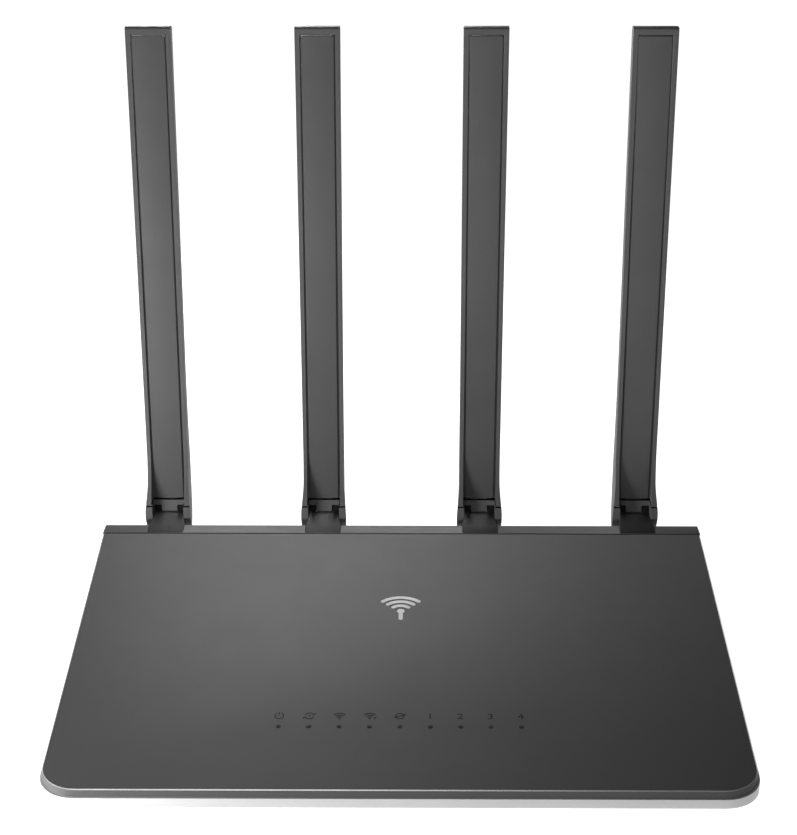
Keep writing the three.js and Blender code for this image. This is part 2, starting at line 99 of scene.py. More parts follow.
def outline(bm, corners, plane="xy", at=0.0):
    # a flat face through the corners, each (a, b, reach): reach rounds that corner off
    place = {
        "xy": lambda a, b: (a, b, at),
        "yz": lambda a, b: (at, a, b),
        "xz": lambda a, b: (a, at, b),
    }[plane]
    verts = [bm.verts.new(place(a, b)) for a, b, reach in corners]
    bm.faces.new(verts)
    for vert, (a, b, reach) in zip(verts, corners):
        if reach:
            steps = max(3, min(10, round(reach / mm)))  # about one for each millimetre
            bmesh.ops.bevel(bm, geom=[vert], offset=reach, segments=steps, profile=0.5,
                            affect="VERTICES", material=-1)
    bm.faces.ensure_lookup_table()
    return bm.faces[:]


def extrude(bm, faces, vec):
    made = bmesh.ops.extrude_face_region(bm, geom=faces)["geom"]
    bmesh.ops.translate(bm, vec=vec, verts=vertsOf(made))
    bmesh.ops.recalc_face_normals(bm, faces=bm.faces[:])


def pushIn(bm, faces, vec):
    # hollows a solid out: the faces move in and leave walls round them
    made = bmesh.ops.extrude_face_region(bm, geom=faces)["geom"]
    bmesh.ops.translate(bm, vec=vec, verts=vertsOf(made))
    bmesh.ops.delete(bm, geom=[f for f in faces if f.is_valid], context="FACES_ONLY")


def planeCut(bm, point, normal, drop=False):
    geom = bm.verts[:] + bm.edges[:] + bm.faces[:]
    return bmesh.ops.bisect_plane(bm, geom=geom, dist=weld, plane_co=point, plane_no=normal,
                                  clear_outer=drop)["geom_cut"]


def keepBelow(bm, point, normal):
    # drops what is past the plane and closes the cut
    cut = planeCut(bm, point, normal, drop=True)
    rim = [e for e in cut if isinstance(e, bmesh.types.BMEdge)]
    bmesh.ops.holes_fill(bm, edges=rim, sides=0)


def bevelEdges(bm, edges, size, segments):
    bmesh.ops.bevel(bm, geom=edges, offset=size, segments=segments, profile=0.5,
                    affect="EDGES", material=-1, clamp_overlap=True)


def box(bm, x0, x1, y0, y1, z0, z1):
    made = bmesh.ops.create_cube(bm, size=1.0)["verts"]
    bmesh.ops.scale(bm, vec=(x1 - x0, y1 - y0, z1 - z0), verts=made)
    bmesh.ops.translate(bm, vec=((x0 + x1) / 2, (y0 + y1) / 2, (z0 + z1) / 2), verts=made)


def rod(bm, axis, radius, length, centre, sides=32):
    turn = {
        "x": Matrix.Rotation(math.pi / 2, 4, "Y"),
        "y": Matrix.Rotation(-math.pi / 2, 4, "X"),
        "z": Matrix.Identity(4),
    }[axis]
    bmesh.ops.create_cone(bm, cap_ends=True, segments=sides, radius1=radius, radius2=radius,
                          depth=length, matrix=Matrix.Translation(centre) @ turn)


def lathe(bm, points, centre, axis, steps):
    # turns a line of points about the axis into a closed solid
    verts = [bm.verts.new(point) for point in points]
    edges = [bm.edges.new(pair) for pair in zip(verts, verts[1:])]
    bmesh.ops.spin(bm, geom=verts + edges, cent=centre, axis=axis, angle=2 * math.pi,
                   steps=steps, use_merge=True, use_duplicate=False)
    bmesh.ops.remove_doubles(bm, verts=bm.verts[:], dist=weld)


def meshOf(bm, name):
    bmesh.ops.recalc_face_normals(bm, faces=bm.faces[:])
    mesh = bpy.data.meshes.new(name)
    bm.to_mesh(mesh)
    bm.free()
    return mesh


def looseObject(bm, name):
    piece = bpy.data.objects.new(name, meshOf(bm, name))
    scene.collection.objects.link(piece)
    return piece


def applied(piece):
    # bakes the piece's modifiers into its mesh
    graph = bpy.context.evaluated_depsgraph_get()
    mesh = bpy.data.meshes.new_from_object(piece.evaluated_get(graph))
    piece.modifiers.clear()
    old, piece.data = piece.data, mesh
    bpy.data.meshes.remove(old)
    mesh.name = piece.name
    return piece


def combine(piece, tool, operation="DIFFERENCE"):
    modifier = piece.modifiers.new("combine", "BOOLEAN")
    modifier.operation = operation
    modifier.solver = "EXACT"
    modifier.object = tool
    applied(piece)
    bpy.data.objects.remove(tool)


def cutBlock(piece, *sizes):
    tool = bmesh.new()
    box(tool, *sizes)
    combine(piece, looseObject(tool, "block"))


def soften(piece, width, segments=2, angle=40):
    # small moulded radii on every edge sharper than the angle
    modifier = piece.modifiers.new("soften", "BEVEL")
    modifier.width = width
    modifier.segments = segments
    modifier.limit_method = "ANGLE"
    modifier.angle_limit = math.radians(angle)
    modifier.miter_outer = "MITER_ARC"
    modifier.use_clamp_overlap = True
    modifier.harden_normals = False
    applied(piece)


def dress(piece, body, materials, replaced=(), smooth=32):
    for material in materials:
        piece.data.materials.append(material)
    piece.data.shade_smooth()
    piece.data.set_sharp_from_angle(angle=math.radians(smooth))
    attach(piece, body)
    if replaced:
        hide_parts(*replaced)


def newMaterial(name):
    material = bpy.data.materials.new(name)
    material.use_nodes = True
    nodes = material.node_tree.nodes
    return material, nodes, material.node_tree.links, nodes["Principled BSDF"]


def noise(nodes, links, coords, scale, detail=3.0, roughness=0.5, distortion=0.0):
    node = nodes.new("ShaderNodeTexNoise")
    node.inputs["Scale"].default_value = scale
    node.inputs["Detail"].default_value = detail
    node.inputs["Roughness"].default_value = roughness
    node.inputs["Distortion"].default_value = distortion
    links.new(coords, node.inputs["Vector"])
    return node.outputs["Fac"]


def spread(nodes, links, value, low, high, fromLow=0.3, fromHigh=0.7):
    node = nodes.new("ShaderNodeMapRange")
    node.inputs["From Min"].default_value = fromLow
    node.inputs["From Max"].default_value = fromHigh
    node.inputs["To Min"].default_value = low
    node.inputs["To Max"].default_value = high
    links.new(value, node.inputs["Value"])
    return node.outputs["Result"]


def tint(nodes, links, factor, dark, light):
    node = nodes.new("ShaderNodeMix")
    node.data_type = "RGBA"
    node.inputs["A"].default_value = (*dark, 1)
    node.inputs["B"].default_value = (*light, 1)
    links.new(factor, node.inputs["Factor"])
    return node.outputs["Result"]


def bump(nodes, links, height, distance):
    node = nodes.new("ShaderNodeBump")
    node.inputs["Distance"].default_value = distance
    node.inputs["Strength"].default_value = 1.0
    links.new(height, node.inputs["Height"])
    return node.outputs["Normal"]


# the slow patterns under every moulded plastic, in repeats to the metre
plasticLook = dict(driftScale=38, speckPart=0.45, speckShare=0.35, tintFrom=0.42, tintTo=0.92, markScale=90)


def grainedPlastic(name, colour, roughness, grain=4200, depth=0.006, mottle=0.06, ripple=0.03,
                   specular=0.5):
    # moulded plastic: spark grain, slow colour drift and faint handling marks in the gloss
    material, nodes, links, shader = newMaterial(name)
    coords = nodes.new("ShaderNodeTexCoord").outputs["Object"]
    drift = noise(nodes, links, coords, plasticLook["driftScale"], 4)
    speck = noise(nodes, links, coords, grain * plasticLook["speckPart"], 2)
    blend = nodes.new("ShaderNodeMath")
    blend.operation = "MULTIPLY_ADD"
    blend.inputs[1].default_value = plasticLook["speckShare"]
    links.new(speck, blend.inputs[0])
    links.new(drift, blend.inputs[2])
    factor = spread(nodes, links, blend.outputs[0], 0, 1, plasticLook["tintFrom"], plasticLook["tintTo"])
    dark = [c * (1 - mottle) for c in colour]
    light = [c * (1 + mottle) for c in colour]
    links.new(tint(nodes, links, factor, dark, light), shader.inputs["Base Color"])
    marks = noise(nodes, links, coords, plasticLook["markScale"], 5, 0.6, 0.6)
    gloss = spread(nodes, links, marks, roughness - ripple, roughness + ripple)
    links.new(gloss, shader.inputs["Roughness"])
    height = noise(nodes, links, coords, grain, 2, 0.6)
    links.new(bump(nodes, links, height, depth * mm), shader.inputs["Normal"])
    shader.inputs["Specular IOR Level"].default_value = specular
    return material


metalLook = dict(
    lineScale=900, lineDepth=0.004 * mm, cloudScale=55,
    dark=0.88, light=1.08, glossy=0.75, dull=1.3,  # parts of the colour and of the roughness
)


def brushedMetal(name, colour, roughness, stretch=(1, 1, 30), metallic=1.0):
    # fine lines drawn out across the stretch, with slow clouds in the tone
    material, nodes, links, shader = newMaterial(name)
    coords = nodes.new("ShaderNodeTexCoord").outputs["Object"]
    mapping = nodes.new("ShaderNodeMapping")
    mapping.inputs["Scale"].default_value = stretch
    links.new(coords, mapping.inputs["Vector"])
    lines = noise(nodes, links, mapping.outputs["Vector"], metalLook["lineScale"], 4, 0.65)
    cloud = noise(nodes, links, coords, metalLook["cloudScale"], 4)
    dark = [c * metalLook["dark"] for c in colour]
    light = [min(1, c * metalLook["light"]) for c in colour]
    tone = tint(nodes, links, spread(nodes, links, cloud, 0, 1), dark, light)
    links.new(tone, shader.inputs["Base Color"])
    gloss = spread(nodes, links, lines, roughness * metalLook["glossy"], roughness * metalLook["dull"])
    links.new(gloss, shader.inputs["Roughness"])
    links.new(bump(nodes, links, lines, metalLook["lineDepth"]), shader.inputs["Normal"])
    shader.inputs["Metallic"].default_value = metallic
    return material


boardLook = dict(
    mask=(0.016, 0.090, 0.038), trace=(0.030, 0.140, 0.060), via=(0.42, 0.36, 0.16), maskShade=0.85,
    traceScale=210, traceWidth=0.06, viaScale=420, viaInner=0.12, viaOuter=0.16, height=0.03 * mm,
    glossScale=150, glossy=0.3, dull=0.45,
)


def circuitBoard(name):
    # solder mask over copper tracks, with a sprinkle of vias
    material, nodes, links, shader = newMaterial(name)
    coords = nodes.new("ShaderNodeTexCoord").outputs["Object"]
    brick = nodes.new("ShaderNodeTexBrick")
    brick.inputs["Scale"].default_value = boardLook["traceScale"]
    brick.inputs["Mortar Size"].default_value = boardLook["traceWidth"]
    brick.inputs["Color1"].default_value = (*boardLook["mask"], 1)
    brick.inputs["Color2"].default_value = (*[c * boardLook["maskShade"] for c in boardLook["mask"]], 1)
    brick.inputs["Mortar"].default_value = (*boardLook["trace"], 1)
    links.new(coords, brick.inputs["Vector"])
    dots = nodes.new("ShaderNodeTexVoronoi")
    dots.inputs["Scale"].default_value = boardLook["viaScale"]
    links.new(coords, dots.inputs["Vector"])
    distance = dots.outputs["Distance"]
    ring = spread(nodes, links, distance, 1, 0, boardLook["viaInner"], boardLook["viaOuter"])
    mix = nodes.new("ShaderNodeMix")
    mix.data_type = "RGBA"
    mix.inputs["B"].default_value = (*boardLook["via"], 1)
    links.new(ring, mix.inputs["Factor"])
    links.new(brick.outputs["Color"], mix.inputs["A"])
    links.new(mix.outputs["Result"], shader.inputs["Base Color"])
    cloud = noise(nodes, links, coords, boardLook["glossScale"])
    gloss = spread(nodes, links, cloud, boardLook["glossy"], boardLook["dull"])
    links.new(gloss, shader.inputs["Roughness"])
    links.new(bump(nodes, links, brick.outputs["Fac"], boardLook["height"]), shader.inputs["Normal"])
    return material


coverBlack = grainedPlastic("coverBlack", (0.060, 0.060, 0.061), 0.55, mottle=0.03, ripple=0.015,
                            specular=0.15)
bridgeBlack = grainedPlastic("bridgeBlack", (0.092, 0.092, 0.093), 0.48, depth=0.003, specular=0.1)
# painted shade: a darker copy of the strip's black for the hinge arms, standing in for the shade the
# antennas throw on them
armPaintedShade = grainedPlastic("armPaintedShade", (0.013, 0.013, 0.014), 0.45, depth=0.002, specular=0.04)
# painted shadow: near-black for the narrow steps in the antennas, standing in for the shade in those gaps
gapPaintedShadow = grainedPlastic("gapPaintedShadow", (0.004, 0.004, 0.004), 0.9, specular=0.0)
paddleBlack = grainedPlastic("paddleBlack", (0.092, 0.092, 0.093), 0.50, specular=0.08)
panelBlack = grainedPlastic("panelBlack", (0.078, 0.078, 0.079), 0.48, depth=0.005, specular=0.15)
trayPaint = grainedPlastic("trayPaint", (0.43, 0.43, 0.43), 0.38, grain=6500, depth=0.003, mottle=0.03)
rimMetal = brushedMetal("rimMetal", (0.68, 0.68, 0.69), 0.28, stretch=(30, 30, 1), metallic=0.85)
emblemInk = grainedPlastic("emblemInk", (0.72, 0.72, 0.72), 0.42, mottle=0.04)
markInk = grainedPlastic("markInk", (0.018, 0.018, 0.018), 0.7, mottle=0.15, specular=0.03)
paleInk = grainedPlastic("paleInk", (0.34, 0.34, 0.34), 0.55)
boardGreen = circuitBoard("boardGreen")
chipBlack = grainedPlastic("chipBlack", (0.014, 0.014, 0.015), 0.52, grain=7000, depth=0.004)
tinPlate = brushedMetal("tinPlate", (0.56, 0.57, 0.58), 0.30)
finAluminium = brushedMetal("finAluminium", (0.52, 0.53, 0.54), 0.36, stretch=(1, 20, 1))
goldPlate = brushedMetal("goldPlate", (0.72, 0.50, 0.18), 0.22)
brassStrip = brushedMetal("brassStrip", (0.56, 0.40, 0.17), 0.30)
screwSteel = brushedMetal("screwSteel", (0.50, 0.51, 0.52), 0.28)
jackBlue = grainedPlastic("jackBlue", (0.020, 0.110, 0.380), 0.36, mottle=0.04)
jackYellow = grainedPlastic("jackYellow", (0.640, 0.380, 0.030), 0.38, mottle=0.04)
jackBlack = grainedPlastic("jackBlack", (0.018, 0.018, 0.019), 0.36)
footRubber = grainedPlastic("footRubber", (0.016, 0.016, 0.016), 0.78, grain=2600, depth=0.02, specular=0.3)
cableJacket = grainedPlastic("cableJacket", (0.017, 0.017, 0.018), 0.46)
labelPaper = grainedPlastic("labelPaper", (0.62, 0.62, 0.60), 0.62, grain=3000, depth=0.01, mottle=0.03)
guideSmoke = grainedPlastic("guideSmoke", (0.040, 0.040, 0.041), 0.6, specular=0.03)
print("materials made")


cover = dict(
    frontCorner=12 * mm, chamfer=0.26 * mm, lift=0.1 * mm, wall=2 * mm, seamRound=0.06 * mm,
    draft=0.3 * mm, draftFrom=14 * mm, rimSteepest=0.3, rimFlattest=0.93,
    lights=9, lightPitch=10 * mm, lightFromFront=34 * mm, lightRadius=0.85 * mm, lightDepth=8 * mm,
)


def planCorners(inset, frontCorner, rearCorner, rear):
    half = halfWidth - inset
    front = yFront + inset
    return [(-half, front, frontCorner), (half, front, frontCorner),
            (half, rear, rearCorner), (-half, rear, rearCorner)]


def buildCover():
    bm = bmesh.new()
    extrude(bm, outline(bm, planCorners(coverInset, cover["frontCorner"], 0, ySeam)), (0, 0, tall))
    keepBelow(bm, Vector((0, ySeam, coverHigh.z)), slopeUp)
    keepBelow(bm, Vector((0, ySeam, coverHigh.z - skirt + cover["lift"])), -slopeUp)
    rim = {v for v in bm.verts if v.co.z > topAt(v.co.y) - 0.1 * mm}
    lean = 1 - cover["draft"] / halfWidth
    for vert in rim:  # the skirt leans in a little towards the top
        vert.co.x *= lean
        if vert.co.y < yFront + cover["draftFrom"]:
            vert.co.y += cover["draft"]
            vert.co.z = topAt(vert.co.y)
    sides = [e for e in bm.edges
             if rim.issuperset(e.verts) and min(v.co.y for v in e.verts) < ySeam - mm]
    bevelEdges(bm, sides, cover["chamfer"], 1)
    seamEdge = [e for e in bm.edges
                if all(v.co.y > ySeam - touch and v.co.z > coverHigh.z - mm for v in e.verts)]
    bevelEdges(bm, seamEdge, cover["seamRound"], 2)
    under = [f for f in bm.faces if f.normal.z < -0.9]
    bmesh.ops.inset_region(bm, faces=under, thickness=cover["wall"], depth=0.0, use_even_offset=True)
    inside = max((f for f in bm.faces if f.normal.z < -0.9), key=lambda f: f.calc_area())
    pushIn(bm, [inside], (0, 0, skirt - cover["wall"]))
    piece = looseObject(bm, "coverShell")
    tool = bmesh.new()
    y = yFront + cover["lightFromFront"]
    for i in range(cover["lights"]):
        x = inRow(i, cover["lights"], cover["lightPitch"])
        rod(tool, "z", cover["lightRadius"], cover["lightDepth"], (x, y, topAt(y)), 24)
    combine(piece, looseObject(tool, "lightHoles"))
    dress(piece, "housing", [coverBlack, rimMetal], ["top_cover"])
    for face in piece.data.polygons:  # the polished chamfer that runs round the sides and the front
        spot = face.center
        slanted = cover["rimSteepest"] < face.normal.z < cover["rimFlattest"]
        if slanted and spot.y < ySeam - 0.5 * mm and spot.z > topAt(spot.y) - mm:
            face.material_index = 1


tray = dict(
    frontCorner=12 * mm, rearCorner=3 * mm, innerFront=10 * mm, innerRear=1.2 * mm, wall=2 * mm,
    floor=3 * mm, undercut=1.1 * mm, edgeRound=0.14 * mm, rise=0.22 * mm, openingRun=4 * mm,
    screwHole=12 * mm, slots=9, slotPitch=6 * mm, slotWidth=2 * mm, slotDepth=6 * mm,
    slotFrom=-8 * mm, slotTo=26 * mm, bankAt=46 * mm,
)


def buildTray():
    bm = bmesh.new()
    corners = planCorners(0, tray["frontCorner"], tray["rearCorner"], yRear)
    extrude(bm, outline(bm, corners, at=trayLow.z), (0, 0, tall))
    rim = Vector((0, ySeam, trayHigh.z + tray["rise"]))
    keepBelow(bm, rim, slopeUp)
    keepBelow(bm, rim, Vector((0, 0, 1)))
    bottom = [e for e in bm.edges if all(v.co.z < trayLow.z + touch for v in e.verts)]
    bevelEdges(bm, bottom, tray["undercut"], 4)
    piece = looseObject(bm, "trayShell")
    inner = bmesh.new()
    corners = planCorners(tray["wall"], tray["innerFront"], tray["innerRear"], yRear)
    extrude(inner, outline(inner, corners, at=tray["floor"]), (0, 0, tall))
    combine(piece, looseObject(inner, "hollow"))
    half = halfWidth - tray["wall"]
    cutBlock(piece, -half, half, yRear - tray["openingRun"], yRear + 2 * mm, tray["floor"], tall)
    tool = bmesh.new()
    for bank in (-tray["bankAt"], tray["bankAt"]):
        for i in range(tray["slots"]):
            x = bank + inRow(i, tray["slots"], tray["slotPitch"])
            side = tray["slotWidth"] / 2
            box(tool, x - side, x + side, tray["slotFrom"], tray["slotTo"], 0, tray["slotDepth"])
    for i in range(1, 5):
        low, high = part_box(f"rubber_foot_{i}")
        depth = high.z + clearance
        rod(tool, "z", (high.x - low.x) / 2 + clearance, depth,
            ((low.x + high.x) / 2, (low.y + high.y) / 2, depth / 2), 40)
        low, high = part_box(f"case_screw_{i}")
        rod(tool, "z", (high.x - low.x) / 2 + clearance, tray["screwHole"],
            ((low.x + high.x) / 2, (low.y + high.y) / 2, 0))
    low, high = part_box("rating_label")
    box(tool, low.x - clearance, high.x + clearance, low.y - clearance, high.y + clearance,
        0, high.z + clearance)
    combine(piece, looseObject(tool, "floorCuts"))
    soften(piece, tray["edgeRound"], angle=50)
    dress(piece, "housing", [trayPaint], ["base_tray"])


bridge = dict(
    gap=0.62 * mm, thickness=2.6 * mm, wall=1.8 * mm, rearDrop=0.6 * mm, seamRound=0.25 * mm,
    crownRound=1.7 * mm, endRound=2.6 * mm, edgeRound=0.16 * mm, armReach=7.1 * mm,
    slotHalf=3.23 * mm, slotFront=-6.7 * mm, slotRear=12 * mm, slotLow=10 * mm, slotHigh=40 * mm,
    pinHole=1.5 * mm, pinReach=20 * mm, leadHole=1.1 * mm, leadDepth=14 * mm, leadDrop=2.6 * mm,
    powerHole=4.3 * mm, powerDrop=4.6 * mm, buttonHole=3.5 * mm, holeDepth=8 * mm,
)
arm = dict(
    half=5.8 * mm, horn=4.2 * mm, round=2.4 * mm,
    flare=6.9 * mm, flareFrom=5 * mm, flareRun=8 * mm, flareLoops=9,
)


def armSide(pin):
    # side outline of one hinge arm, from inside the strip to the round horn at the pin
    y, z, horn, top = pin.y, pin.z, arm["horn"], coverHigh.z
    return [
        (yRear - 9.4 * mm, top - 2.4 * mm, 0),
        (yRear - 0.4 * mm, top - 4.6 * mm, 0),
        (yRear + 7 * mm, top - 4.4 * mm, 4 * mm),
        (y, z - horn, 3 * mm),
        (y + horn, z - horn, horn * 0.98),
        (y + horn, z + horn, horn * 0.98),
        (y - horn * 0.9, z + horn, horn * 0.86),
        (y - horn * 1.15, top + 2.9 * mm, 1 * mm),
        (y + bridge["slotFront"] + 0.3 * mm, top + 1.0 * mm, 1.5 * mm),
        (yRear - 9.2 * mm, top + 0.02 * mm, 0),
    ]


def buildArm(pin):
    bm = bmesh.new()
    half = arm["half"]
    extrude(bm, outline(bm, armSide(pin), plane="yz", at=pin.x - half), (2 * half, 0, 0))
    upper = []
    for edge in bm.edges:
        a, b = (vert.co for vert in edge.verts)
        middle = (a + b) / 2
        onSide = abs(abs(a.x - pin.x) - half) < touch and abs(a.x - b.x) < touch
        if onSide and middle.z > coverHigh.z - 0.6 * mm and yRear - 7.5 * mm < middle.y < pin.y + 2 * mm:
            upper.append(edge)
    bevelEdges(bm, upper, arm["round"], 7)
    # the arm grows wider where it runs into the strip
    start, run = yRear + arm["flareFrom"], arm["flareRun"]
    for i in range(arm["flareLoops"]):
        planeCut(bm, (0, start - run * i / (arm["flareLoops"] - 1), 0), (0, 1, 0))
    for vert in bm.verts:
        t = min(1, max(0, (start - vert.co.y) / run))
        widen = 1 + (arm["flare"] / half - 1) * t * t * (3 - 2 * t)
        vert.co.x = pin.x + (vert.co.x - pin.x) * widen
    return looseObject(bm, "arm")


def bridgeStrip():
    # the strip along the top with the port wall hanging from it
    bm = bmesh.new()
    top = coverHigh.z
    under = top - bridge["thickness"]
    half = halfWidth - coverInset
    front = ySeam + bridge["gap"]
    inside = yRear - bridge["wall"]
    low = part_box("rear_bridge")[0].z
    side = [(front, top, bridge["seamRound"]), (front, under, 0), (inside, under, 0), (inside, low, 0),
            (yRear, low, 0), (yRear, top - bridge["rearDrop"], bridge["crownRound"])]
    extrude(bm, outline(bm, side, plane="yz", at=-half), (2 * half, 0, 0))
    ends = [e for e in bm.edges if all(v.co.y > yRear - touch for v in e.verts)
            and abs(e.verts[0].co.x) > half - mm and abs(e.verts[0].co.z - e.verts[1].co.z) > mm]
    bevelEdges(bm, ends, bridge["endRound"], 6)
    piece = looseObject(bm, "rearBridge")
    tool = bmesh.new()  # room for the tray's sides
    inner, outer = halfWidth - tray["wall"] - bridge["gap"], halfWidth + mm
    for x0, x1 in ((-outer, -inner), (inner, outer)):
        box(tool, x0, x1, ySeam - mm, yRear + mm, 0, under)
    combine(piece, looseObject(tool, "traySides"))
    return piece


def buildBridge():
    piece = bridgeStrip()
    for pin in pins:
        combine(piece, buildArm(pin), "UNION")
    tool = bmesh.new()
    for name in jackNames:
        low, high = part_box(name)
        box(tool, low.x - clearance, high.x + clearance, yRear - bridge["wall"] - mm, yRear + mm,
            low.z - clearance, high.z + clearance)
    low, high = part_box("dc_jack")
    rod(tool, "y", bridge["powerHole"], bridge["holeDepth"],
        ((low.x + high.x) / 2, yRear, high.z - bridge["powerDrop"]), 40)
    low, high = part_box("reset_button")
    rod(tool, "y", bridge["buttonHole"], bridge["holeDepth"],
        ((low.x + high.x) / 2, yRear, (low.z + high.z) / 2), 40)
    for pin in pins:
        box(tool, pin.x - bridge["slotHalf"], pin.x + bridge["slotHalf"], pin.y + bridge["slotFront"],
            pin.y + bridge["slotRear"], bridge["slotLow"], bridge["slotHigh"])
    combine(piece, looseObject(tool, "windows"))
    tool = bmesh.new()
    top = coverHigh.z
    for pin in pins:
        rod(tool, "x", bridge["pinHole"], bridge["pinReach"], pin)
        rod(tool, "y", bridge["leadHole"], bridge["leadDepth"],
            (pin.x, yRear + 2 * mm, top - bridge["leadDrop"]), 20)
    combine(piece, looseObject(tool, "bores"))
    soften(piece, bridge["edgeRound"], 3)
    dress(piece, "housing", [bridgeBlack, armPaintedShade], ["rear_bridge"], smooth=30)
    for face in piece.data.polygons:  # the arms get a darker copy of the strip's black: painted shade where the antennas keep the rear light off them
        spot = face.center
        onArm = min(abs(spot.x - pin.x) for pin in pins) <= bridge["armReach"]
        crown = top if spot.y < yRear - bridge["crownRound"] else top - bridge["rearDrop"]
        if onArm and (spot.y > yRear + 0.1 * mm or spot.z > crown + 0.03 * mm):
            face.material_index = 1


paddle = dict(
    front=-6 * mm, top=187 * mm, rearTop=0, rearMid=0.4 * mm, rearLow=4.2 * mm, bottom=-9.6 * mm,
    halfTop=8.15 * mm, half=7.78 * mm, cheekHalf=8.8 * mm, cheekInner=6.0 * mm, nose=-12.1 * mm,
    flareFrom=-3 * mm, flareTo=12 * mm, edgeRound=1.0 * mm, softRound=0.14 * mm,
    forkRadius=4.8 * mm, barLow=0.4 * mm, faceTop=34 * mm,
    pocketHalf=6.35 * mm, pocketLow=2.5 * mm, pocketTop=184.5 * mm, pocketBack=-3.9 * mm,
    lugTop=3.15 * mm, lugLow=2.9 * mm, lugBottom=-3.4 * mm, lugRadius=3.9 * mm, lugFront=-4.4 * mm,
    lugRoot=6.5 * mm, pinHole=1.5 * mm, stepLow=1.9 * mm, stepHigh=2.75 * mm,
    # heights in millimetres, close together at the flare
    loops=(-7, -5, -3, -1, 1, 2.5, 4, 5.5, 7, 8.5, 10, 12, 24, 60, 120),
)


def paddleHalf(y, z):
    # half width: it tapers down from the tip, and the cheeks flare out towards their nose
    if z > paddle["flareTo"]:
        t = (z - paddle["flareTo"]) / (paddle["top"] - paddle["flareTo"])
        return paddle["half"] + (paddle["halfTop"] - paddle["half"]) * t
    t = min(1, max(0, (paddle["flareTo"] - z) / (paddle["flareTo"] - paddle["flareFrom"])))
    ahead = min(1, max(0, (paddle["rearLow"] - y) / (paddle["rearLow"] - paddle["nose"])))
    return paddle["half"] + (paddle["cheekHalf"] - paddle["half"]) * t * t * (3 - 2 * t) * ahead


def paddleSide():
    # side outline about the pin, from the tip down the front, round the cheek and up the back
    nose, bottom = paddle["nose"], paddle["bottom"]
    return [
        (paddle["front"], paddle["top"], 0.8 * mm),
        (paddle["front"], 15 * mm, 8 * mm),
        (nose + 0.4 * mm, 3.0 * mm, 1.6 * mm),
        (nose + 0.9 * mm, 2.7 * mm, 0),
        (nose + 0.9 * mm, 2.2 * mm, 0),
        (nose, 2.0 * mm, 0),
        (nose, -0.35 * mm, 0),
        (-11.2 * mm, -6.2 * mm, 4 * mm),
        (-6 * mm, bottom, 3.5 * mm),
        (paddle["rearLow"], bottom, 7 * mm),
        (paddle["rearLow"], 12 * mm, 6 * mm),
        (paddle["rearMid"], 44 * mm, 14 * mm),
        (paddle["rearTop"], paddle["top"], 2 * mm),
    ]


def buildLug():
    # the centre lug, a touch narrower at its foot
    bm = bmesh.new()
    radius, half = paddle["lugRadius"], paddle["lugTop"]
    face = paddle["front"] + 0.05 * mm
    shoulder = paddle["barLow"] + 1.5 * mm
    side = [
        (face, shoulder, 0),
        (face, paddle["lugBottom"], 0.8 * mm),
        (-radius, -radius, 2 * mm),
        (radius, -radius, radius * 0.95),
        (radius, paddle["lugRoot"], 0),
        (paddle["lugFront"], paddle["lugRoot"], 0),
        (paddle["lugFront"], shoulder, 0),
    ]
    extrude(bm, outline(bm, side, plane="yz", at=-half), (2 * half, 0, 0))
    for vert in bm.verts:
        if vert.co.y < face + 1.2 * mm and vert.co.z < paddle["barLow"]:
            vert.co.x *= paddle["lugLow"] / half
    return looseObject(bm, "lug")


def buildShellMesh():
    # built about the pin at the origin; every antenna shares the shape
    bm = bmesh.new()
    half = paddle["cheekHalf"]
    extrude(bm, outline(bm, paddleSide(), plane="yz", at=-half), (2 * half, 0, 0))
    for z in paddle["loops"]:
        planeCut(bm, (0, 0, z * mm), (0, 0, 1))
    for vert in bm.verts:
        vert.co.x *= paddleHalf(vert.co.y, vert.co.z) / half
    rims = [e for e in bm.edges if e.calc_face_angle(0) > 1.2
            and all(abs(v.co.x) > 7 * mm for v in e.verts) and e.verts[0].co.x * e.verts[1].co.x > 0]
    bevelEdges(bm, rims, paddle["edgeRound"], 4)
    body = looseObject(bm, "paddle")

    inner, pocket = paddle["cheekInner"], paddle["pocketHalf"]
    low, behind = -30 * mm, 30 * mm  # past the cheeks on every side
    cutBlock(body, -inner, inner, low, paddle["front"], low, paddle["faceTop"])  # between the cheeks
    cutBlock(body, -pocket, pocket, low, paddle["pocketBack"], paddle["pocketLow"], paddle["pocketTop"])
    tool = bmesh.new()  # the fork round the arm's horns
    rod(tool, "x", paddle["forkRadius"], 2 * inner, (0, 0, 0), 40)
    combine(body, looseObject(tool, "forkRound"))
    cutBlock(body, -inner, inner, low, behind, low, paddle["barLow"])
    cutBlock(body, -inner, inner, 0, behind, low, paddle["forkRadius"])
    combine(body, buildLug(), "UNION")
    tool = bmesh.new()
    rod(tool, "x", paddle["pinHole"], 2 * (paddle["half"] - 0.5 * mm), (0, 0, 0))
    combine(body, looseObject(tool, "pinBore"))
    soften(body, paddle["softRound"])
    for face in body.data.polygons:  # painted shadow: the narrow steps under the panel and above the noses get near-black paint where they would sit in shade
        spot = face.center
        if face.normal.z > 0.25 and paddle["stepLow"] < spot.z < paddle["stepHigh"] and spot.y < -3 * mm:
            face.material_index = 1
    mesh = body.data.copy()
    bpy.data.objects.remove(body)
    return mesh


panel = dict(
    halfTop=6.0 * mm, halfLow=5.62 * mm, low=2.9 * mm, top=184.1 * mm, faceTop=-5.85 * mm,
    faceLow=-5.1 * mm, thickness=0.95 * mm, cornerRound=0.7 * mm, edgeRound=0.35 * mm,
)


